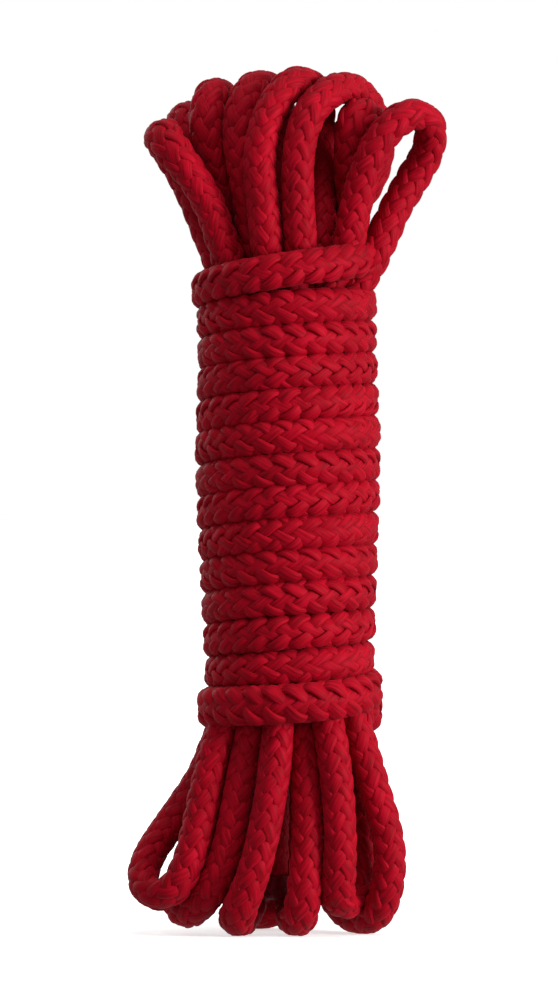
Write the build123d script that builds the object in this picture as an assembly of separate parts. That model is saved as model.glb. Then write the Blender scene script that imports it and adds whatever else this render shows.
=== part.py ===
from build123d import *
import math
import os

# A hank of 8 mm braided rope that stands on its lower bights.
# One rope goes up and down sixteen times, then is wound fourteen times round its own legs.
# Millimetres, +Z up, the front is -Y, and the origin is on the floor under the hank.

# Driving sizes of the rope and of the wound part.
ROPE = 8.0                 # diameter of the rope
TURNS = 14                 # wrapping turns
TURN_PITCH = 7.95          # height that one turn takes
TURN_THICKNESS = 7.0       # a turn is pulled a little flat against the legs
WRAP_OUTER = 22.75         # outer radius of the wrapping turns
WRAP_FOOT = 55.0           # height of the underside of the lowest turn
GROOVE = 2.2               # depth of the groove between two turns
NECK = 3.0                 # height of the flare where the legs leave the turns
NECK_RADIUS = 24.0         # radius that the flared legs fill
FLAT = 0.4                 # how far the lower bights are pressed flat by the weight
END_LENGTH = 6.0           # length of the melted seal on each rope end
END_SWELL = 0.2            # how far the seal stands out round the rope

# Sizes worked out from them.
WRAP_INNER = WRAP_OUTER - TURN_THICKNESS
WRAP_TOP = WRAP_FOOT + TURNS * TURN_PITCH
UPPER_NECK = WRAP_TOP + NECK
LOWER_NECK = WRAP_FOOT - NECK
REST = ROPE / 2 - FLAT     # centreline height where a bight lies on the floor

# The heights of the turns that the bights' points below are drawn for.
DRAWN_FOOT = 55.0
DRAWN_TOP = 166.3

# Points of the upper bights, from one foot over the top to the other.
UPPER_BIGHTS = {
    "upper_bight_1": [
        (-16.6, -8.6, 166), (-17.0, -8.7, 173), (-19.4, -9.2, 181), (-24.0, -10.2, 189),
        (-29.8, -10.4, 196.4), (-32.8, -3.4, 200.8), (-30.2, 3.6, 197), (-26.6, 1.6, 189.6),
        (-22.2, -1.2, 180.5), (-19.7, -1.0, 173), (-19.5, -1.0, 166),
    ],
    "upper_bight_2": [
        (-16.0, 10.2, 166), (-16.2, 10.3, 173), (-18.4, 10.2, 182), (-22.2, 9.6, 192),
        (-25.4, 9.4, 202.2), (-26.8, 16.9, 206.6), (-24.4, 24.2, 202.2), (-19.6, 24.8, 193.4),
        (-13.2, 22.8, 184.4), (-7.0, 19.6, 176), (-3.2, 17.9, 166),
    ],
    "upper_bight_3": [
        (-11.6, 3.4, 166), (-12.0, 3.2, 173), (-13.6, 2.0, 181), (-16.8, 0.2, 188.5),
        (-20.0, -1.8, 196.2), (-21.2, -2.6, 203.6), (-19.8, 1.0, 210), (-17.4, 8.0, 211.2),
        (-16.4, 14.0, 206.2), (-15.2, 15.2, 197), (-11.6, 13.6, 187.5), (-7.8, 11.2, 178),
        (-6.6, 10.4, 166),
    ],
    "upper_bight_4": [
        (-9.0, -4.6, 166), (-9.2, -4.8, 173), (-10.0, -5.4, 182), (-11.6, -6.2, 191),
        (-13.0, -6.6, 199.6), (-12.2, -5.2, 207.2), (-8.6, -0.4, 212.6), (-5.2, 6.4, 212.2),
        (-2.4, 11.4, 206.4), (-1.6, 11.8, 197.5), (-1.4, 7.6, 187), (-1.4, 3.6, 177),
        (-1.4, 2.6, 166),
    ],
    "upper_bight_5": [
        (-5.8, -13.6, 166), (-6.0, -13.8, 174), (-6.8, -14.1, 182.5), (-7.8, -14.2, 191),
        (-7.0, -13.0, 199.2), (-4.4, -10.6, 206.8), (0.2, -6.6, 212.4), (4.7, -0.2, 213.4),
        (6.5, 5.2, 208.6), (7.6, 6.4, 201.5), (8.1, 4.4, 193), (7.7, 0.8, 186),
        (7.4, -3.4, 179), (7.2, -5.0, 172), (7.2, -5.2, 166),
    ],
    "upper_bight_6": [
        (2.8, -13.6, 166), (2.6, -13.8, 174), (2.0, -14.3, 182.5), (1.8, -14.5, 191),
        (2.7, -14.0, 199), (5.3, -11.8, 206), (10.7, -6.0, 211.0), (15.4, 2.8, 212.1),
        (19.6, 9.2, 208.2), (22.8, 13.2, 201), (22.0, 15.8, 192), (16.4, 16.8, 183),
        (10.0, 15.6, 175.5), (8.2, 14.6, 166),
    ],
    "upper_bight_7": [
        (15.2, -0.8, 166), (15.5, -0.8, 173), (16.2, -1.6, 181), (15.0, -3.4, 189),
        (14.8, -5.6, 196.5), (16.0, -7.1, 203.2), (18.5, -2.3, 206.1), (20.0, 3.0, 202.4),
        (18.6, 5.0, 195), (15.2, 7.0, 184), (12.7, 7.0, 174.5), (12.3, 6.8, 166),
    ],
    "upper_bight_8": [
        (14.6, -9.8, 166), (14.8, -10.0, 173), (16.2, -10.8, 181), (18.0, -11.9, 188.5),
        (20.8, -12.8, 195.4), (25.0, -12.2, 201.6), (30.6, -9.4, 205.2), (35.2, -5.0, 203),
        (35.0, -1.8, 196.2), (30.8, -1.0, 189), (26.0, -2.8, 181), (22.6, -5.0, 173),
        (22.0, -5.4, 166),
    ],
}

# Points of the lower bights, from one foot down and round to the other.
LOWER_BIGHTS = {
    "lower_bight_1": [
        (-17.6, 10.2, 55), (-18.4, 11.2, 47.5), (-21.2, 11.6, 40.5), (-25.6, 10.8, 33.2),
        (-31.0, 7.6, 26), (-35.6, 3.2, 19.4), (-37.2, -2.0, 13.2), (-33.8, -7.2, 9.8),
        (-28.3, -10.3, 12.0), (-25.0, -11.1, 18.8), (-22.9, -10.6, 27), (-20.9, -9.6, 36.5),
        (-18.8, -8.2, 46), (-17.2, -7.0, 55),
    ],
    "lower_bight_2": [
        (-9.8, -10.0, 55), (-10.6, -10.3, 45.5), (-12.4, -10.8, 36.5), (-14.2, -11.1, 27),
        (-16.4, -10.8, 18.4), (-20.0, -8.4, 10.8), (-24.4, -3.8, 5.8), (-27.8, 2.4, 5.4),
        (-27.0, 7.6, 11.0), (-22.8, 7.4, 20), (-19.6, 3.8, 30), (-18.2, 1.6, 40.5),
        (-18.5, 1.2, 55),
    ],
    "lower_bight_3": [
        (-3.0, -14.6, 55), (-3.6, -15.0, 44.5), (-4.8, -15.4, 35), (-6.6, -15.6, 25.5),
        (-8.9, -15.4, 16.2), (-12.0, -13.2, 8.2), (-13.8, -8.4, REST), (-12.2, -2.2, REST),
        (-10.0, 4.4, 7.6), (-9.0, 5.8, 16.5), (-9.0, 5.4, 28), (-10.0, 3.8, 39.5),
        (-10.6, 2.6, 55),
    ],
    "lower_bight_4": [
        (-1.2, 4.6, 55), (-0.8, 5.4, 40.5), (0.2, 6.2, 28), (1.0, 6.6, 16.5), (0.8, 4.4, 7.6),
        (0.8, -1.6, REST), (1.9, -8.4, REST), (3.2, -13.0, 8.4), (4.0, -14.0, 17),
        (4.5, -13.2, 26.5), (4.2, -11.8, 37), (3.8, -10.4, 45.5), (3.6, -9.6, 55),
    ],
    "lower_bight_5": [
        (10.4, -14.4, 55), (11.0, -14.8, 44.5), (12.0, -15.2, 34.5), (12.6, -15.4, 25.5),
        (12.2, -14.6, 17), (11.6, -11.2, 10.2), (12.8, -6.2, 7.4), (15.8, -1.6, 11.2),
        (17.8, 0.8, 18.2), (18.2, 0.6, 28), (17.6, -0.2, 39.5), (17.0, -1.0, 55),
    ],
    "lower_bight_6": [
        (9.0, 12.2, 55), (9.6, 13.4, 41.5), (9.6, 14.8, 29), (9.4, 14.6, 17),
        (11.2, 11.6, 7.8), (15.8, 6.2, REST), (20.6, -0.6, REST), (23.4, -6.2, 8.8),
        (25.0, -8.8, 17), (24.4, -9.6, 25.6), (21.4, -9.8, 35), (18.8, -9.6, 44.5),
        (17.4, -9.4, 55),
    ],
    "lower_bight_7": [
        (0.0, 16.2, 55), (0.8, 18.8, 41.5), (1.6, 21.8, 29), (2.2, 23.6, 17.5),
        (0.8, 23.6, 8.6), (-4.2, 22.0, REST), (-10.4, 20.0, REST), (-14.6, 18.6, 9.0),
        (-14.4, 18.0, 18), (-12.4, 17.6, 28), (-10.4, 16.4, 38.5), (-8.4, 13.8, 55),
    ],
}

# Points of the two free ends, from the wound part to the cut.
STARTING_END = [(-3.8, -4.4, 55), (-4.0, -3.4, 41), (-4.4, -2.2, 28), (-4.4, -2.0, 15)]
WORKING_END = [(3.4, 20.4, 161), (3.6, 21.9, 169), (4.0, 23.4, 177), (4.0, 24.2, 185), (3.4, 24.4, 193)]


def spread_radii(name, points):
    """The largest arc that each corner's two runs allow, as a list, and print the smallest."""
    spots = [Vector(*point) for point in points]
    radii = []
    for before, corner, after in zip(spots, spots[1:], spots[2:]):
        turn = (corner - before).get_angle(after - corner)
        run = min((corner - before).length, (after - corner).length)
        radii.append(0.45 * run / math.tan(math.radians(turn) / 2))
    print(f"{name}: arc radii {min(radii):.1f} to {max(radii):.1f} mm")
    return radii


def rope_along(name, points):
    """A round tube of the rope's diameter along straight runs joined by tangent arcs."""
    path = FilletPolyline(*points, radius=spread_radii(name, points))
    section = Plane(origin=path @ 0, z_dir=path % 0) * Circle(ROPE / 2)
    tube = sweep(section, path=path)
    expected = math.pi * ROPE**2 / 4 * path.length
    print(f"{name}: length {path.length:.1f} mm, volume off by {tube.volume / expected - 1:.2%}")
    return tube


def raised(points):
    """Points above the turns, moved up or down with the turns' top."""
    return [(x, y, z + WRAP_TOP - DRAWN_TOP) for x, y, z in points]


def stretched(points):
    """Points under the turns, spread between the floor and the turns' underside."""
    share = (WRAP_FOOT - REST) / (DRAWN_FOOT - REST)
    return [(x, y, REST + (z - REST) * share) for x, y, z in points]


def slab(low, high):
    """A block wider than the hank between two heights."""
    return Pos(0, 0, (low + high) / 2) * Box(200, 200, high - low)


def upper_bight(name, points):
    return rope_along(name, raised(points)) & slab(UPPER_NECK, UPPER_NECK + 100)


def lower_bight(name, points):
    return rope_along(name, stretched(points)) & slab(0, LOWER_NECK)


def leg_bundle():
    """The sixteen legs inside the turns, as one solid that flares where they leave the turns."""
    core = Pos(0, 0, LOWER_NECK) * extrude(Circle(WRAP_INNER), UPPER_NECK - LOWER_NECK)
    collar = extrude(Circle(NECK_RADIUS), NECK)
    return core + Pos(0, 0, LOWER_NECK) * collar + Pos(0, 0, WRAP_TOP) * collar


def wrapping_turns():
    """The fourteen turns as one ribbed sleeve, a rounded rib for each turn."""
    base = WRAP_OUTER - GROOVE
    outline = [Line((WRAP_INNER, WRAP_FOOT), (base, WRAP_FOOT))]
    for turn in range(TURNS):
        foot = WRAP_FOOT + turn * TURN_PITCH
        top = foot + TURN_PITCH
        outline.append(ThreePointArc((base, foot), (WRAP_OUTER, (foot + top) / 2), (base, top)))
    outline.append(Line((base, WRAP_TOP), (WRAP_INNER, WRAP_TOP)))
    outline.append(Line((WRAP_INNER, WRAP_TOP), (WRAP_INNER, WRAP_FOOT)))
    return revolve(Plane.XZ * make_face(Curve() + outline), Axis.Z)


def end_seal(points):
    """The melted tip on a cut end: a short domed plug that covers the cut."""
    tip, before = Vector(*points[-1]), Vector(*points[-2])
    plug = extrude(Circle(ROPE / 2 + END_SWELL), END_LENGTH)
    plug = fillet(plug.edges().group_by(Axis.Z)[-1], ROPE / 4)
    return Plane(origin=tip, z_dir=tip - before) * plug


def build():
    """Every node of the hank, by name."""
    working_points = raised(WORKING_END)
    working_end = rope_along("working_end", working_points) & slab(WRAP_TOP, UPPER_NECK + 100)
    nodes = {
        "leg_bundle": leg_bundle() - working_end,
        "wrapping_turns": wrapping_turns(),
        "starting_end": lower_bight("starting_end", STARTING_END),
        "starting_end_seal": end_seal(stretched(STARTING_END)),
        "working_end": working_end,
        "working_end_seal": end_seal(working_points),
    }
    nodes |= {name: upper_bight(name, points) for name, points in UPPER_BIGHTS.items()}
    nodes |= {name: lower_bight(name, points) for name, points in LOWER_BIGHTS.items()}
    return nodes


def centre_on_box(nodes):
    """Move every node so that the middle of the hank's box stands over the origin."""
    boxes = [shape.bounding_box() for shape in nodes.values()]
    middle_x = (min(box.min.X for box in boxes) + max(box.max.X for box in boxes)) / 2
    middle_y = (min(box.min.Y for box in boxes) + max(box.max.Y for box in boxes)) / 2
    print(f"the turns' axis stands at {-middle_x:.3f}, {-middle_y:.3f}")
    return {name: Pos(-middle_x, -middle_y, 0) * shape for name, shape in nodes.items()}


if __name__ == "__main__":
    os.makedirs("parts", exist_ok=True)
    for node, shape in centre_on_box(build()).items():
        export_step(shape, f"parts/{node}.step")
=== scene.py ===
import math

import bpy
import numpy as np
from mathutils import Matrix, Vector


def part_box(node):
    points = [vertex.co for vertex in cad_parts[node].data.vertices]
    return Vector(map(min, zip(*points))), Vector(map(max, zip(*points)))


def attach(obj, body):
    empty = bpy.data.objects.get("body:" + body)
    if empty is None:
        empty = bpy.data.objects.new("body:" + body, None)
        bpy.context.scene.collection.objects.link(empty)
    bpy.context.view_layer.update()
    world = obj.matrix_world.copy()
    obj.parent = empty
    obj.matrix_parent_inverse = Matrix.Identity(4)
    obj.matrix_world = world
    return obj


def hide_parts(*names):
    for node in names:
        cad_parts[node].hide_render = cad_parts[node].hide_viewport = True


# A hank of red braided rope, in metres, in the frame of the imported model.
# The rope is one route: up and down sixteen times, then fourteen turns round its own legs.
# Sixteen yarns are braided along that route, two over and two under, round a core.

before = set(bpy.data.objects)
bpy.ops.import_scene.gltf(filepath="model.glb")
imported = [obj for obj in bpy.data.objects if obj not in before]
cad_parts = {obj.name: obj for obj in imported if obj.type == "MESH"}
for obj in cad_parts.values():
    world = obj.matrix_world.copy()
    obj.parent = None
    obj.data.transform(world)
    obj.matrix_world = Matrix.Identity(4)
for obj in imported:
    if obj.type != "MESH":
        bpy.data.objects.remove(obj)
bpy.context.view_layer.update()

# Sizes that the model was drawn with, in metres.
ROPE = 0.008                   # diameter of the rope
TURNS = 14                     # wrapping turns
TURN_PITCH = 0.00795           # height that one turn takes
TURN_THICKNESS = 0.007         # a turn is pulled a little flat against the legs
WRAP_OUTER = 0.02275           # outer radius of the wrapping turns

# How the wrapping turns lie.
FIRST_LEFT = 0.0576            # height the turns would start from at the hank's left side
# The first two turns, as (turn, height): low and nearly level, they ride up over the start.
FIRST_TURN = [
    (-0.5, 0.0556), (-0.25, 0.056), (0.0, 0.0569), (0.25, 0.0583), (0.4, 0.06),
    (0.5, 0.0616), (0.7, 0.0636), (1.0, 0.0654), (1.25, 0.0673), (1.5, 0.0695), (2.0, 0.0735),
]
FRONT_RISE = 0.0008            # the turns ride this much higher at the front
ROLL_RISE = 0.00026            # and this much higher at the right
LAST_SLANT = 0.0035            # extra climb of the last turn, which leaves a gap under it
STEPS_PER_TURN = 18
LAST_SLANT_TO = TURNS - 0.45    # the turn at which that extra climb is complete
TURNS_END = TURNS - 0.40        # the turn at which the rope leaves the wound part
RISE_STARTS, RISE_FULL = 1.7, 3.2  # the turns over which the two rises set in
LEAN = -0.0009                 # the top turn stands this far to the left of the axis
# How much each turn differs from the outer radius, from the lowest turn up.
TURN_SWELL = [
    0.0, -0.0017, -0.0014, -0.0011, -0.0008, -0.0004, -0.0001,
    0.0001, 0.0002, -0.0001, -0.0004, -0.0006, -0.0005, 0.0008,
]
LEAD_IN = [(0.0116, 0.0046, 0.074), (0.0134, -0.001, 0.0655), (0.0164, -0.0064, 0.0586)]
LEAD_OUT = [(0.0116, 0.0158, 0.1693), (0.0072, 0.0192, 0.1707), (0.0044, 0.0216, 0.1747)]

# How the legs are packed inside the turns: twelve in a ring, four inside it.
OUTER_RING = 0.0124
INNER_RING = 0.005
LEG_HEIGHTS = [0.066, 0.088, 0.110, 0.132, 0.155]
LEG_SQUEEZE = 0.8              # a leg inside the turns is squeezed to this share of its width
FOOT_SHARE = 0.70              # the legs are drawn in to this share where the turns hold them

# Heights between which the turns' hold on the rope sets in and lets go, in metres.
MIDDLE = 0.110                 # points above this belong to the upper bights
DRAWN_BELOW = (0.050, 0.062)   # where the legs are drawn in, at the foot of the turns
DRAWN_ABOVE = (0.157, 0.173)   # and at their top
HELD_FROM, HELD_TO = (0.049, 0.060), (0.162, 0.174)
WOUND_FROM, WOUND_TO = (0.049, 0.053), (0.1705, 0.1735)
LOW_TURN = (0.0595, 0.0645)    # top of the lowest turn
WOUND_RADIUS = (0.0160, 0.0180)  # distance from the axis that tells turns from legs
LEG_RADIUS = (0.0145, 0.0170)

# How the soft section gives.
FREE_SWELL = 0.05              # the free rope is this much fuller than the nominal size
BEND_REACH = 0.0062            # a bend of this radius flattens the rope fully
BEND_LENGTH = 0.014            # length of rope over which a bend is averaged
BEND_FLATTENS = 0.13           # a bend flattens it this much towards its centre
BEND_WIDENS = 0.22             # and widens it this much across
SQUARE = 4.0                   # how square a turn's section is; 2 is an ellipse
END_WIDTH, END_REACH = 0.92, 0.004  # share of the width at a cut end, and over what length
FLOOR_GAP = 0.0001             # nothing is drawn lower than this
TURN_SPREAD = 0.11             # the turns press together, so each is this much taller
LOW_TURN_SPREAD = 0.17         # the lowest turn has nothing under it and spreads more

# Points of the upper bights, in metres from the turns' axis, from one foot over the top
# to the other.
UPPER_BIGHTS = {
    "upper_bight_1": [
        (-0.0166, -0.0086, 0.166), (-0.017, -0.0087, 0.173), (-0.0194, -0.0092, 0.181),
        (-0.024, -0.0102, 0.189), (-0.0298, -0.0104, 0.1964), (-0.0328, -0.0034, 0.2008),
        (-0.0302, 0.0036, 0.197), (-0.0266, 0.0016, 0.1896), (-0.0222, -0.0012, 0.1805),
        (-0.0197, -0.001, 0.173), (-0.0195, -0.001, 0.166),
    ],
    "upper_bight_2": [
        (-0.016, 0.0102, 0.166), (-0.0162, 0.0103, 0.173), (-0.0184, 0.0102, 0.182),
        (-0.0222, 0.0096, 0.192), (-0.0254, 0.0094, 0.2022), (-0.0268, 0.0169, 0.2066),
        (-0.0244, 0.0242, 0.2022), (-0.0196, 0.0248, 0.1934), (-0.0132, 0.0228, 0.1844),
        (-0.007, 0.0196, 0.176), (-0.0032, 0.0179, 0.166),
    ],
    "upper_bight_3": [
        (-0.0116, 0.0034, 0.166), (-0.012, 0.0032, 0.173), (-0.0136, 0.002, 0.181),
        (-0.0168, 0.0002, 0.1885), (-0.02, -0.0018, 0.1962), (-0.0212, -0.0026, 0.2036),
        (-0.0198, 0.001, 0.21), (-0.0174, 0.008, 0.2112), (-0.0164, 0.014, 0.2062),
        (-0.0152, 0.0152, 0.197), (-0.0116, 0.0136, 0.1875), (-0.0078, 0.0112, 0.178),
        (-0.0066, 0.0104, 0.166),
    ],
    "upper_bight_4": [
        (-0.009, -0.0046, 0.166), (-0.0092, -0.0048, 0.173), (-0.01, -0.0054, 0.182),
        (-0.0116, -0.0062, 0.191), (-0.013, -0.0066, 0.1996), (-0.0122, -0.0052, 0.2072),
        (-0.0086, -0.0004, 0.2126), (-0.0052, 0.0064, 0.2122), (-0.0024, 0.0114, 0.2064),
        (-0.0016, 0.0118, 0.1975), (-0.0014, 0.0076, 0.187), (-0.0014, 0.0036, 0.177),
        (-0.0014, 0.0026, 0.166),
    ],
    "upper_bight_5": [
        (-0.0058, -0.0136, 0.166), (-0.006, -0.0138, 0.174), (-0.0068, -0.0141, 0.1825),
        (-0.0078, -0.0142, 0.191), (-0.007, -0.013, 0.1992), (-0.0044, -0.0106, 0.2068),
        (0.0002, -0.0066, 0.2124), (0.0047, -0.0002, 0.2134), (0.0065, 0.0052, 0.2086),
        (0.0076, 0.0064, 0.2015), (0.0081, 0.0044, 0.193), (0.0077, 0.0008, 0.186),
        (0.0074, -0.0034, 0.179), (0.0072, -0.005, 0.172), (0.0072, -0.0052, 0.166),
    ],
    "upper_bight_6": [
        (0.0028, -0.0136, 0.166), (0.0026, -0.0138, 0.174), (0.002, -0.0143, 0.1825),
        (0.0018, -0.0145, 0.191), (0.0027, -0.014, 0.199), (0.0053, -0.0118, 0.206),
        (0.0107, -0.006, 0.211), (0.0154, 0.0028, 0.2121), (0.0196, 0.0092, 0.2082),
        (0.0228, 0.0132, 0.201), (0.022, 0.0158, 0.192), (0.0164, 0.0168, 0.183),
        (0.01, 0.0156, 0.1755), (0.0082, 0.0146, 0.166),
    ],
    "upper_bight_7": [
        (0.0152, -0.0008, 0.166), (0.0155, -0.0008, 0.173), (0.0162, -0.0016, 0.181),
        (0.015, -0.0034, 0.189), (0.0148, -0.0056, 0.1965), (0.016, -0.0071, 0.2032),
        (0.0185, -0.0023, 0.2061), (0.02, 0.003, 0.2024), (0.0186, 0.005, 0.195),
        (0.0152, 0.007, 0.184), (0.0127, 0.007, 0.1745), (0.0123, 0.0068, 0.166),
    ],
    "upper_bight_8": [
        (0.0146, -0.0098, 0.166), (0.0148, -0.01, 0.173), (0.0162, -0.0108, 0.181),
        (0.018, -0.0119, 0.1885), (0.0208, -0.0128, 0.1954), (0.025, -0.0122, 0.2016),
        (0.0306, -0.0094, 0.2052), (0.0352, -0.005, 0.203), (0.035, -0.0018, 0.1962),
        (0.0308, -0.001, 0.189), (0.026, -0.0028, 0.181), (0.0226, -0.005, 0.173),
        (0.022, -0.0054, 0.166),
    ],
}

# Points of the lower bights, from one foot down and round to the other.
LOWER_BIGHTS = {
    "lower_bight_1": [
        (-0.0176, 0.0102, 0.055), (-0.0184, 0.0112, 0.0475), (-0.0212, 0.0116, 0.0405),
        (-0.0256, 0.0108, 0.0332), (-0.031, 0.0076, 0.026), (-0.0356, 0.0032, 0.0194),
        (-0.0372, -0.002, 0.0132), (-0.0338, -0.0072, 0.0098), (-0.0283, -0.0103, 0.012),
        (-0.025, -0.0111, 0.0188), (-0.0229, -0.0106, 0.027), (-0.0209, -0.0096, 0.0365),
        (-0.0188, -0.0082, 0.046), (-0.0172, -0.007, 0.055),
    ],
    "lower_bight_2": [
        (-0.0098, -0.01, 0.055), (-0.0106, -0.0103, 0.0455), (-0.0124, -0.0108, 0.0365),
        (-0.0142, -0.0111, 0.027), (-0.0164, -0.0108, 0.0184), (-0.02, -0.0084, 0.0108),
        (-0.0244, -0.0038, 0.0058), (-0.0278, 0.0024, 0.0054), (-0.027, 0.0076, 0.011),
        (-0.0228, 0.0074, 0.02), (-0.0196, 0.0038, 0.03), (-0.0182, 0.0016, 0.0405),
        (-0.0185, 0.0012, 0.055),
    ],
    "lower_bight_3": [
        (-0.003, -0.0146, 0.055), (-0.0036, -0.015, 0.0445), (-0.0048, -0.0154, 0.035),
        (-0.0066, -0.0156, 0.0255), (-0.0089, -0.0154, 0.0162), (-0.012, -0.0132, 0.0082),
        (-0.0138, -0.0084, 0.0036), (-0.0122, -0.0022, 0.0036), (-0.01, 0.0044, 0.0076),
        (-0.009, 0.0058, 0.0165), (-0.009, 0.0054, 0.028), (-0.01, 0.0038, 0.0395),
        (-0.0106, 0.0026, 0.055),
    ],
    "lower_bight_4": [
        (-0.0012, 0.0046, 0.055), (-0.0008, 0.0054, 0.0405), (0.0002, 0.0062, 0.028),
        (0.001, 0.0066, 0.0165), (0.0008, 0.0044, 0.0076), (0.0008, -0.0016, 0.0036),
        (0.0019, -0.0084, 0.0036), (0.0032, -0.013, 0.0084), (0.004, -0.014, 0.017),
        (0.0045, -0.0132, 0.0265), (0.0042, -0.0118, 0.037), (0.0038, -0.0104, 0.0455),
        (0.0036, -0.0096, 0.055),
    ],
    "lower_bight_5": [
        (0.0104, -0.0144, 0.055), (0.011, -0.0148, 0.0445), (0.012, -0.0152, 0.0345),
        (0.0126, -0.0154, 0.0255), (0.0122, -0.0146, 0.017), (0.0116, -0.0112, 0.0102),
        (0.0128, -0.0062, 0.0074), (0.0158, -0.0016, 0.0112), (0.0178, 0.0008, 0.0182),
        (0.0182, 0.0006, 0.028), (0.0176, -0.0002, 0.0395), (0.017, -0.001, 0.055),
    ],
    "lower_bight_6": [
        (0.009, 0.0122, 0.055), (0.0096, 0.0134, 0.0415), (0.0096, 0.0148, 0.029),
        (0.0094, 0.0146, 0.017), (0.0112, 0.0116, 0.0078), (0.0158, 0.0062, 0.0036),
        (0.0206, -0.0006, 0.0036), (0.0234, -0.0062, 0.0088), (0.025, -0.0088, 0.017),
        (0.0244, -0.0096, 0.0256), (0.0214, -0.0098, 0.035), (0.0188, -0.0096, 0.0445),
        (0.0174, -0.0094, 0.055),
    ],
    "lower_bight_7": [
        (0.0, 0.0162, 0.055), (0.0008, 0.0188, 0.0415), (0.0016, 0.0218, 0.029),
        (0.0022, 0.0236, 0.0175), (0.0008, 0.0236, 0.0086), (-0.0042, 0.022, 0.0036),
        (-0.0104, 0.02, 0.0036), (-0.0146, 0.0186, 0.009), (-0.0144, 0.018, 0.018),
        (-0.0124, 0.0176, 0.028), (-0.0104, 0.0164, 0.0385), (-0.0084, 0.0138, 0.055),
    ],
}

# Points of the two free ends, from the wound part to the cut.
STARTING_END = [
    (-0.0038, -0.0044, 0.055), (-0.004, -0.0034, 0.041), (-0.0044, -0.0022, 0.028),
    (-0.0044, -0.002, 0.015),
]
WORKING_END = [
    (0.0034, 0.0204, 0.161), (0.0036, 0.0219, 0.169), (0.004, 0.0234, 0.177),
    (0.004, 0.0242, 0.185), (0.0034, 0.0244, 0.193),
]

# The order of the stretches along the rope. -1 runs a bight's points backwards.
# Each leg is named by its ring and its clock angle in degrees.
BIGHT_ORDER = [
    ("upper_bight_4", 1), ("lower_bight_4", 1), ("upper_bight_5", -1), ("lower_bight_2", 1),
    ("upper_bight_1", -1), ("lower_bight_1", -1), ("upper_bight_2", 1), ("lower_bight_7", 1),
    ("upper_bight_3", -1), ("lower_bight_3", -1), ("upper_bight_6", 1), ("lower_bight_6", 1),
    ("upper_bight_8", -1), ("lower_bight_5", 1), ("upper_bight_7", 1),
]
LEG_ORDER = [
    (INNER_RING, 225), (INNER_RING, 45), (INNER_RING, 315), (OUTER_RING, 240),
    (OUTER_RING, 180), (OUTER_RING, 210), (OUTER_RING, 150), (OUTER_RING, 90),
    (OUTER_RING, 120), (INNER_RING, 135), (OUTER_RING, 270), (OUTER_RING, 60),
    (OUTER_RING, 330), (OUTER_RING, 300), (OUTER_RING, 0), (OUTER_RING, 30),
]

# The braid: eight yarns each way, two over and two under.
YARNS_EACH_WAY = 8
LAY = 0.038                    # length along the rope of one yarn's turn round it
YARN_WIDTH = 0.0031
YARN_THICKNESS = 0.0017
OVER_RADIUS = ROPE / 2 - YARN_THICKNESS / 2
UNDER_SHARE = 0.68             # an under yarn lies this share of a thickness deeper
UNDER_RADIUS = OVER_RADIUS - UNDER_SHARE * YARN_THICKNESS
CORE_RADIUS = 0.0029
RING_STEP = 0.0008             # spacing of a yarn's rings along the rope
CORE_STRIDE = 2                # the core and the declared path use every second ring
CROSSING_STEEPNESS = 1.6       # how sharply a yarn changes from over to under
UV_PER_METRE = 100
# The angles of a yarn's section, close together on its outer side.
SECTION_ANGLES = np.radians([-12, 18, 48, 90, 132, 162, 192, 235, 305])

# The camera looks level along +Y. These fit the hank's height to the frame.
VIEW_HEIGHT = 0.250            # height of the view at the hank
VIEW_CENTRE = (-0.0026, 0.1086)
CAMERA_DISTANCE = 1.6
SENSOR = 36.0


def smoothstep(low, high, value):
    share = np.clip((value - low) / (high - low), 0.0, 1.0)
    return share * share * (3 - 2 * share)


def turns_axis():
    """Where the axis of the wrapping turns stands in the frame."""
    low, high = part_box("wrapping_turns")
    return np.array([(low[0] + high[0]) / 2, (low[1] + high[1]) / 2, 0.0])


# ---------------------------------------------------------------- the route

def drawn_in(point):
    """A bight's point, drawn towards the axis where the turns hold the legs together."""
    x, y, z = point
    free = smoothstep(*DRAWN_ABOVE, z) if z > MIDDLE else 1 - smoothstep(*DRAWN_BELOW, z)
    share = FOOT_SHARE + (1 - FOOT_SHARE) * free
    return (x * share, y * share, z)


def leg_points(leg, upwards):
    """A leg's straight points inside the turns."""
    ring, degrees = leg
    angle = math.radians(degrees)
    heights = LEG_HEIGHTS if upwards else LEG_HEIGHTS[::-1]
    return [(ring * math.cos(angle), ring * math.sin(angle), z) for z in heights]


def turn_swell(turn):
    """The radius change at a place along the turns, blended from one turn to the next."""
    index = min(max(turn - 0.25, 0), TURNS - 1)
    low = min(int(index), TURNS - 2)
    share = smoothstep(0.3, 0.7, index - low)
    return TURN_SWELL[low] * (1 - share) + TURN_SWELL[low + 1] * share


def turn_height(turn):
    """The height of the turns' middle. The first two turns start low and nearly level."""
    height = FIRST_LEFT + TURN_PITCH * turn
    if turn < FIRST_TURN[-1][0]:
        height = float(np.interp(turn, *zip(*FIRST_TURN)))
    return height + LAST_SLANT * smoothstep(TURNS - 1, LAST_SLANT_TO, turn)


def turn_points():
    """The wrapping turns. A turn counts from the hank's left side, past the front."""
    first, last = FIRST_TURN[0][0], TURNS_END
    steps = round((last - first) * STEPS_PER_TURN)
    middle_radius = WRAP_OUTER - TURN_THICKNESS / 2
    points = []
    for step in range(steps + 1):
        turn = first + (last - first) * step / steps
        angle = 2 * math.pi * turn + math.pi
        radius = (middle_radius + turn_swell(turn)) / math.cos(math.pi / STEPS_PER_TURN)
        height = turn_height(turn)
        height += smoothstep(RISE_STARTS, RISE_FULL, turn) * (
            FRONT_RISE * -math.sin(angle) + ROLL_RISE * (1 + math.cos(angle)))
        lean = LEAN * turn / TURNS
        points.append((radius * math.cos(angle) + lean, radius * math.sin(angle), height))
    return points


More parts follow.
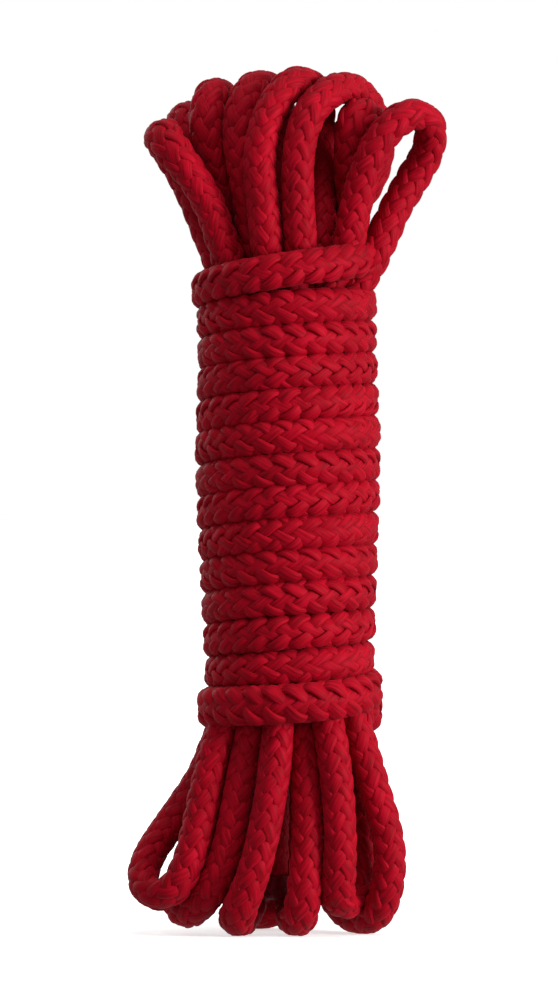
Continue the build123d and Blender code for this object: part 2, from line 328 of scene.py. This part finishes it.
def route_points():
    """Every point of the rope, from the starting end to the working end."""
    bights = {**UPPER_BIGHTS, **LOWER_BIGHTS}
    points = [drawn_in(point) for point in STARTING_END[::-1]]
    upwards = True
    for leg, (name, direction) in zip(LEG_ORDER, BIGHT_ORDER):
        points += leg_points(leg, upwards)
        points += [drawn_in(point) for point in bights[name][::direction]]
        upwards = not upwards
    points += leg_points(LEG_ORDER[-1], upwards)[:-1]
    return points + LEAD_IN + turn_points() + LEAD_OUT + WORKING_END[2:]


def make_route(axis):
    """The rope's centreline as one open NURBS spline."""
    points = route_points()
    curve = bpy.data.curves.new("route", "CURVE")
    curve.dimensions = "3D"
    curve.resolution_u = 10
    spline = curve.splines.new("NURBS")
    spline.points.add(len(points) - 1)
    for knot, point in zip(spline.points, points):
        knot.co = (point[0] + axis[0], point[1] + axis[1], point[2], 1.0)
    spline.order_u = 3
    spline.use_endpoint_u = True
    return bpy.data.objects.new("route", curve)


def centreline(route):
    """The route's line, read from its spline, as points an even step apart."""
    mesh = bpy.data.meshes.new_from_object(route)
    line = np.empty(len(mesh.vertices) * 3)
    mesh.vertices.foreach_get("co", line)
    line = line.reshape(-1, 3)
    bpy.data.meshes.remove(mesh)
    steps = np.linalg.norm(np.diff(line, axis=0), axis=1)
    line = line[np.concatenate([[True], steps > 1e-7])]
    along = np.concatenate([[0.0], np.cumsum(steps[steps > 1e-7])])
    count = int(along[-1] / RING_STEP)
    even = np.linspace(0.0, along[-1], count + 1)
    return np.stack([np.interp(even, along, line[:, k]) for k in range(3)], axis=1), even


def carried_frames(line):
    """Two directions across the line at each point, carried along without twisting."""
    tangents = np.gradient(line, axis=0)
    tangents /= np.linalg.norm(tangents, axis=1)[:, None]
    across = np.empty_like(line)
    side = np.cross(tangents[0], (0.0, 1.0, 0.3))
    for place, tangent in enumerate(tangents):
        side = side - tangent * side.dot(tangent)
        side = side / np.linalg.norm(side)
        across[place] = side
    return across, np.cross(tangents, across)


# ---------------------------------------------------------------- the rope's body

def wander(seed, along, wavelength):
    """A smooth random value along the rope, about -1 to 1."""
    random = np.random.default_rng(seed)
    knots = random.uniform(-1, 1, int(along[-1] / wavelength) + 4)
    place = along / wavelength
    low = place.astype(int)
    share = smoothstep(0.0, 1.0, place - low)
    return knots[low] * (1 - share) + knots[low + 1] * share


def softened(values, length):
    """Values along the rope, averaged over a length of it."""
    reach = max(int(length / RING_STEP / 2), 1)
    window = np.hanning(2 * reach + 1)
    window /= window.sum()
    padded = np.concatenate([np.repeat(values[:1], reach, axis=0), values,
                             np.repeat(values[-1:], reach, axis=0)])
    if values.ndim == 1:
        return np.convolve(padded, window, "valid")
    return np.stack([np.convolve(padded[:, k], window, "valid") for k in range(3)], axis=1)


def rope_state(line, axis):
    """Where along the rope it is squeezed, wound or bent, and which way."""
    flat = (line - axis) * (1, 1, 0)
    radius = np.linalg.norm(flat, axis=1)
    height = line[:, 2]
    held = smoothstep(*HELD_FROM, height) * (1 - smoothstep(*HELD_TO, height))
    wound = smoothstep(*WOUND_FROM, height) * (1 - smoothstep(*WOUND_TO, height))
    wound = wound * smoothstep(*WOUND_RADIUS, radius)
    tangents = np.gradient(line, axis=0)
    tangents /= np.linalg.norm(tangents, axis=1)[:, None]
    bend = softened(np.gradient(tangents, axis=0) / RING_STEP, BEND_LENGTH)
    bend -= tangents * np.sum(bend * tangents, axis=1)[:, None]
    sharpness = np.linalg.norm(bend, axis=1)
    free = (1 - held) * (1 - wound)
    return {
        "squeeze": 1 - (1 - LEG_SQUEEZE) * held * (1 - smoothstep(*LEG_RADIUS, radius)),
        "wound": wound,
        "outward": flat / np.maximum(radius, 1e-6)[:, None],
        "low_turn": wound * (1 - smoothstep(*LOW_TURN, height)),
        "free": free,
        "inward": bend / np.maximum(sharpness, 1e-6)[:, None],
        "bent": free * np.clip(sharpness * BEND_REACH, 0, 1),
    }


def pressed(offsets, state):
    """Offsets from the centreline, with the rope's squeezed and flattened section."""
    offsets = offsets * (state["squeeze"] * (1 + FREE_SWELL * state["free"]))[:, None]
    inward, bent = state["inward"], state["bent"]
    across_bend = np.sum(offsets * inward, axis=1)
    wide = offsets - inward * across_bend[:, None]
    offsets = wide * (1 + BEND_WIDENS * bent)[:, None]
    offsets += inward * (across_bend * (1 - BEND_FLATTENS * bent))[:, None]
    outward, wound = state["outward"], state["wound"]
    depth = np.sum(offsets * outward, axis=1)
    size = np.linalg.norm(offsets, axis=1)
    lean_out = (depth / size) ** 2
    corner = np.abs(depth / size) ** SQUARE + np.maximum(1 - lean_out, 0) ** (SQUARE / 2)
    squared = 1 + (corner ** (-1 / SQUARE) - 1) * wound
    offsets = offsets * squared[:, None]
    offsets += outward * ((TURN_THICKNESS / ROPE - 1) * wound * depth * squared)[:, None]
    offsets[:, 2] *= 1 + TURN_SPREAD * wound + LOW_TURN_SPREAD * state["low_turn"]
    return offsets


def end_taper(along):
    """The rope narrows a little where each end was melted."""
    from_end = np.minimum(along, along[-1] - along)
    return END_WIDTH + (1 - END_WIDTH) * smoothstep(0.0, END_REACH, from_end)


def on_floor(points):
    """Keep everything on the floor, pressed flat where the rope rests on it."""
    points[..., 2] = np.maximum(points[..., 2], FLOOR_GAP)
    return points


def tube_mesh(name, rings, lengths):
    """A closed mesh through equal rings, with a UV map: across the yarn, and along it."""
    count, sides = rings.shape[:2]
    mesh = bpy.data.meshes.new(name)
    ring, side = np.meshgrid(np.arange(count - 1), np.arange(sides), indexing="ij")
    after = (side + 1) % sides
    quads = np.stack([ring * sides + side, ring * sides + after,
                      (ring + 1) * sides + after, (ring + 1) * sides + side], axis=-1)
    quads = quads.reshape(-1, 4)
    mesh.vertices.add(count * sides)
    mesh.vertices.foreach_set("co", rings.reshape(-1))
    caps = [np.arange(sides)[::-1], np.arange(sides) + (count - 1) * sides]
    corners = np.concatenate([quads.reshape(-1), *caps])
    starts = np.concatenate([np.arange(len(quads)) * 4,
                             [len(quads) * 4, len(quads) * 4 + sides]])
    mesh.loops.add(len(corners))
    mesh.loops.foreach_set("vertex_index", corners.astype(np.int32))
    mesh.polygons.add(len(starts))
    mesh.polygons.foreach_set("loop_start", starts.astype(np.int32))
    mesh.update(calc_edges=True)
    mesh.validate()
    mesh.polygons.foreach_set("use_smooth", np.ones(len(starts), dtype=bool))
    across = np.stack([side, side + 1, side + 1, side], axis=-1).reshape(-1) / sides
    down = np.stack([lengths[ring], lengths[ring], lengths[ring + 1], lengths[ring + 1]],
                    axis=-1).reshape(-1)
    uv = np.zeros((len(corners), 2))
    uv[:len(across), 0] = across
    uv[:len(down), 1] = down * UV_PER_METRE
    mesh.uv_layers.new(name="yarn").data.foreach_set("uv", uv.reshape(-1))
    return mesh


def add_piece(name, mesh, material):
    piece = bpy.data.objects.new(name, mesh)
    bpy.context.scene.collection.objects.link(piece)
    mesh.materials.append(material)
    return piece


def make_core(line, along, across, beside, state, material):
    """The rope's core, a plain round tube under the braid."""
    every = slice(None, None, CORE_STRIDE)
    angles = np.radians(np.arange(0, 360, 30))
    rings = []
    for angle in angles:
        offsets = CORE_RADIUS * (math.cos(angle) * across + math.sin(angle) * beside)
        offsets = offsets * end_taper(along)[:, None]
        rings.append((line + pressed(offsets, state))[every])
    rings = on_floor(np.stack(rings, axis=1))
    return add_piece("rope_core", tube_mesh("rope_core", rings, along[every]), material)


def make_yarn(number, way, line, along, across, beside, state, material):
    """One yarn of the braid: it winds round the rope, over two crossings and under two."""
    name = f"yarn_{'left' if way > 0 else 'right'}_{number + 1}"
    seed = number + (20 if way > 0 else 50)
    turned = 2 * math.pi * (along + 0.0016 * wander(7, along, 0.055)) / LAY
    angle = way * turned + 2 * math.pi * number / YARNS_EACH_WAY
    angle = angle + 0.035 * wander(seed, along, 0.009)
    # Crossings stand at multiples of 22.5 degrees; this phase puts two over, then two under.
    wave = np.sin(4 * angle + math.pi / 4) * way
    height = np.tanh(CROSSING_STEEPNESS * wave) / math.tanh(CROSSING_STEEPNESS)
    radius = (OVER_RADIUS + UNDER_RADIUS) / 2 + (OVER_RADIUS - UNDER_RADIUS) / 2 * height
    radius = (radius + 0.00006 * wander(seed + 200, along, 0.007)) * end_taper(along)
    spoke = np.cos(angle)[:, None] * across + np.sin(angle)[:, None] * beside
    middle = line + pressed(radius[:, None] * spoke, state)
    heading = np.gradient(middle, axis=0)
    heading /= np.linalg.norm(heading, axis=1)[:, None]
    spread = pressed(spoke, state)
    stretched = np.linalg.norm(spread, axis=1)
    outward = spread.copy()
    outward -= heading * np.sum(outward * heading, axis=1)[:, None]
    outward /= np.linalg.norm(outward, axis=1)[:, None]
    sideways = np.cross(heading, outward)
    width = YARN_WIDTH * (1 + 0.05 * height + 0.05 * wander(seed + 400, along, 0.006))
    thick = YARN_THICKNESS * (1 + 0.06 * wander(seed + 600, along, 0.006))
    along_side = np.cross(np.gradient(line, axis=0) / RING_STEP, spoke)
    widened = np.linalg.norm(pressed(along_side, state), axis=1)
    rings = []
    for turn in SECTION_ANGLES:
        over = (width * widened / 2 * math.cos(turn))[:, None] * sideways
        rings.append(middle + over + (thick * stretched / 2 * math.sin(turn))[:, None] * outward)
    rings = on_floor(np.stack(rings, axis=1))
    travelled = np.concatenate([[0], np.cumsum(np.linalg.norm(np.diff(middle, axis=0), axis=1))])
    return add_piece(name, tube_mesh(name, rings, travelled + 0.37 * number), material)


# ---------------------------------------------------------------- materials

def new_material(name):
    material = bpy.data.materials.new(name)
    material.use_nodes = True
    tree = material.node_tree
    return material, tree, tree.nodes["Principled BSDF"]


def add_node(tree, kind, **inputs):
    """A new node, with values for some of its sockets by name."""
    node = tree.nodes.new(kind)
    for socket, value in inputs.items():
        node.inputs[socket.replace("_", " ")].default_value = value
    return node


def ramp(tree, source, stops):
    """A colour ramp fed by a socket, from (place, colour) stops."""
    node = tree.nodes.new("ShaderNodeValToRGB")
    while len(node.color_ramp.elements) < len(stops):
        node.color_ramp.elements.new(0.5)
    for element, (place, colour) in zip(node.color_ramp.elements, stops):
        element.position = place
        element.color = (*colour, 1)
    tree.links.new(source, node.inputs["Fac"])
    return node.outputs["Color"]


def fibre_material():
    """Dyed filaments laid along each yarn: fine streaks, uneven dye and a soft sheen. The
    streaks' colour is partly dye and partly painted shade, darker where their bump lies low.
    """
    material, tree, shader = new_material("braided_fibre")
    link = tree.links.new
    along_yarn = tree.nodes.new("ShaderNodeUVMap")
    along_yarn.uv_map = "yarn"
    streak_scale = add_node(tree, "ShaderNodeMapping", Scale=(16.0, 1.6, 1.0))
    link(along_yarn.outputs["UV"], streak_scale.inputs["Vector"])
    streaks = add_node(tree, "ShaderNodeTexNoise", Scale=1.0, Detail=3.0, Roughness=0.6)
    link(streak_scale.outputs["Vector"], streaks.inputs["Vector"])
    place = tree.nodes.new("ShaderNodeTexCoord")
    patches = add_node(tree, "ShaderNodeTexNoise", Scale=90.0, Detail=2.0, Roughness=0.5)
    link(place.outputs["Object"], patches.inputs["Vector"])
    # Streak colour: uneven dye along the filaments, plus painted shade in the low streaks,
    # because the same noise sets the bump height.
    streak_dye_and_shade = ramp(tree, streaks.outputs["Fac"], [
        (0.28, (0.17, 0.0, 0.003)), (0.52, (0.34, 0.0002, 0.009)), (0.80, (0.50, 0.003, 0.022))])
    patch_colour = ramp(tree, patches.outputs["Fac"], [
        (0.30, (0.78, 0.70, 0.76)), (0.70, (1.0, 1.0, 1.0))])
    mix = tree.nodes.new("ShaderNodeMix")
    mix.data_type = "RGBA"
    mix.blend_type = "MULTIPLY"
    mix.inputs["Factor"].default_value = 1.0
    link(streak_dye_and_shade, mix.inputs["A"])
    link(patch_colour, mix.inputs["B"])
    link(mix.outputs["Result"], shader.inputs["Base Color"])
    rough = add_node(tree, "ShaderNodeMapRange", To_Min=0.50, To_Max=0.72)
    link(streaks.outputs["Fac"], rough.inputs["Value"])
    link(rough.outputs["Result"], shader.inputs["Roughness"])
    bump = add_node(tree, "ShaderNodeBump", Strength=0.55, Distance=0.00022)
    link(streaks.outputs["Fac"], bump.inputs["Height"])
    link(bump.outputs["Normal"], shader.inputs["Normal"])
    shader.inputs["Specular IOR Level"].default_value = 0.12
    shader.inputs["Specular Tint"].default_value = (1.0, 0.45, 0.5, 1)
    shader.inputs["Sheen Weight"].default_value = 0.05
    shader.inputs["Sheen Roughness"].default_value = 0.45
    shader.inputs["Sheen Tint"].default_value = (1.0, 0.25, 0.32, 1)
    return material


def core_material():
    """The core's packed fibre under the braid, coloured much darker than the yarns as painted
    shade.
    """
    material, tree, shader = new_material("core_fibre_painted_shade")
    place = tree.nodes.new("ShaderNodeTexCoord")
    grain = add_node(tree, "ShaderNodeTexNoise", Scale=1400.0, Detail=2.0)
    tree.links.new(place.outputs["Object"], grain.inputs["Vector"])
    # Painted shade: the core is coloured far darker than the yarns, for the shade under the
    # braid; the grain only varies it.
    colour = ramp(tree, grain.outputs["Fac"], [
        (0.3, (0.06, 0.0, 0.002)), (0.7, (0.13, 0.0, 0.004))])
    tree.links.new(colour, shader.inputs["Base Color"])
    bump = add_node(tree, "ShaderNodeBump", Strength=0.5, Distance=0.0002)
    tree.links.new(grain.outputs["Fac"], bump.inputs["Height"])
    tree.links.new(bump.outputs["Normal"], shader.inputs["Normal"])
    shader.inputs["Roughness"].default_value = 0.85
    shader.inputs["Specular IOR Level"].default_value = 0.05
    return material


def melted_material():
    """The melted end of a synthetic rope: darker than the fibre, and lumpy. The dark colour is
    partly the melted plastic's own and partly painted shade, so the starting end sinks into the
    shade between the lower bights.
    """
    material, tree, shader = new_material("melted_end_and_painted_shade")
    place = tree.nodes.new("ShaderNodeTexCoord")
    lumps = add_node(tree, "ShaderNodeTexNoise", Scale=620.0, Detail=4.0, Roughness=0.55)
    tree.links.new(place.outputs["Object"], lumps.inputs["Vector"])
    # The dark colour is partly the melted plastic's own and partly painted shade.
    colour = ramp(tree, lumps.outputs["Fac"], [
        (0.3, (0.07, 0.0, 0.003)), (0.75, (0.17, 0.001, 0.007))])
    tree.links.new(colour, shader.inputs["Base Color"])
    shader.inputs["Specular IOR Level"].default_value = 0.08
    rough = add_node(tree, "ShaderNodeMapRange", To_Min=0.3, To_Max=0.6)
    tree.links.new(lumps.outputs["Fac"], rough.inputs["Value"])
    tree.links.new(rough.outputs["Result"], shader.inputs["Roughness"])
    bump = add_node(tree, "ShaderNodeBump", Strength=0.8, Distance=0.0006)
    tree.links.new(lumps.outputs["Fac"], bump.inputs["Height"])
    tree.links.new(bump.outputs["Normal"], shader.inputs["Normal"])
    return material


def floor_material():
    """White paper, whiter with distance from the hank so that it has no visible edge."""
    material, tree, shader = new_material("white_paper")
    shader.inputs["Base Color"].default_value = (0.85, 0.85, 0.85, 1)
    shader.inputs["Roughness"].default_value = 0.9
    shader.inputs["Emission Color"].default_value = (1, 1, 1, 1)
    place = tree.nodes.new("ShaderNodeTexCoord")
    distance = add_node(tree, "ShaderNodeVectorMath")
    distance.operation = "LENGTH"
    tree.links.new(place.outputs["Object"], distance.inputs[0])
    glow = add_node(tree, "ShaderNodeMapRange",
                    From_Min=0.06, From_Max=0.30, To_Min=0.62, To_Max=1.05)
    tree.links.new(distance.outputs["Value"], glow.inputs["Value"])
    tree.links.new(glow.outputs["Result"], shader.inputs["Emission Strength"])
    return material


# ---------------------------------------------------------------- camera, light and floor

def make_camera(axis):
    data = bpy.data.cameras.new("camera")
    data.sensor_fit = "VERTICAL"
    data.sensor_height = SENSOR
    data.lens = SENSOR * CAMERA_DISTANCE / VIEW_HEIGHT
    camera = bpy.data.objects.new("camera", data)
    camera.location = (VIEW_CENTRE[0] + axis[0], axis[1] - CAMERA_DISTANCE, VIEW_CENTRE[1])
    camera.rotation_euler = (math.pi / 2, 0, 0)
    bpy.context.scene.collection.objects.link(camera)
    bpy.context.scene.camera = camera


def add_light(name, location, size, power, target):
    data = bpy.data.lights.new(name, "AREA")
    data.size = size
    data.energy = power
    light = bpy.data.objects.new(name, data)
    light.location = location
    aim = Vector(target) - Vector(location)
    light.rotation_euler = aim.to_track_quat("-Z", "Y").to_euler()
    bpy.context.scene.collection.objects.link(light)


def make_surroundings():
    middle = (0.0, 0.0, 0.11)
    add_light("key", (1.15, -0.60, 0.24), 0.5, 21.0, middle)
    add_light("top", (0.10, -0.45, 1.25), 0.6, 6.0, middle)
    add_light("back", (-0.80, 1.15, 0.60), 0.6, 3.0, middle)
    world = bpy.data.worlds.new("studio")
    bpy.context.scene.world = world
    world.use_nodes = True
    tree = world.node_tree
    seen = tree.nodes["Background"]
    seen.inputs["Color"].default_value = (1, 1, 1, 1)
    seen.inputs["Strength"].default_value = 1.0
    glow = add_node(tree, "ShaderNodeBackground", Color=(1, 1, 1, 1), Strength=0.46)
    rays = tree.nodes.new("ShaderNodeLightPath")
    pick = tree.nodes.new("ShaderNodeMixShader")
    tree.links.new(rays.outputs["Is Camera Ray"], pick.inputs["Fac"])
    tree.links.new(glow.outputs["Background"], pick.inputs[1])
    tree.links.new(seen.outputs["Background"], pick.inputs[2])
    tree.links.new(pick.outputs["Shader"], tree.nodes["World Output"].inputs["Surface"])
    mesh = bpy.data.meshes.new("floor")
    reach = 40.0
    mesh.from_pydata([(-reach, -reach, 0), (reach, -reach, 0), (reach, reach, 0),
                      (-reach, reach, 0)], [], [(0, 1, 2, 3)])
    floor = add_piece("floor", mesh, floor_material())
    floor.visible_diffuse = False
    floor.visible_glossy = False


# ---------------------------------------------------------------- the scene

def main():
    bpy.context.scene.view_settings.view_transform = "Standard"
    axis = turns_axis()
    make_camera(axis)
    make_surroundings()
    line, along = centreline(make_route(axis))
    print(f"rope length {along[-1]:.4f} m, {len(line)} rings")
    across, beside = carried_frames(line)
    state = rope_state(line, axis)
    fibre = fibre_material()
    core = make_core(line, along, across, beside, state, core_material())
    yarns = [
        make_yarn(number, way, line, along, across, beside, state, fibre)
        for way in (1, -1) for number in range(YARNS_EACH_WAY)
    ]
    for piece in [core, *yarns]:
        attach(piece, "root")
    seals = ["starting_end_seal", "working_end_seal"]
    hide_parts(*[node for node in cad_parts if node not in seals])
    melted = melted_material()
    for name in seals:
        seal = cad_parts[name]
        seal.data.materials.clear()
        seal.data.materials.append(melted)


main()
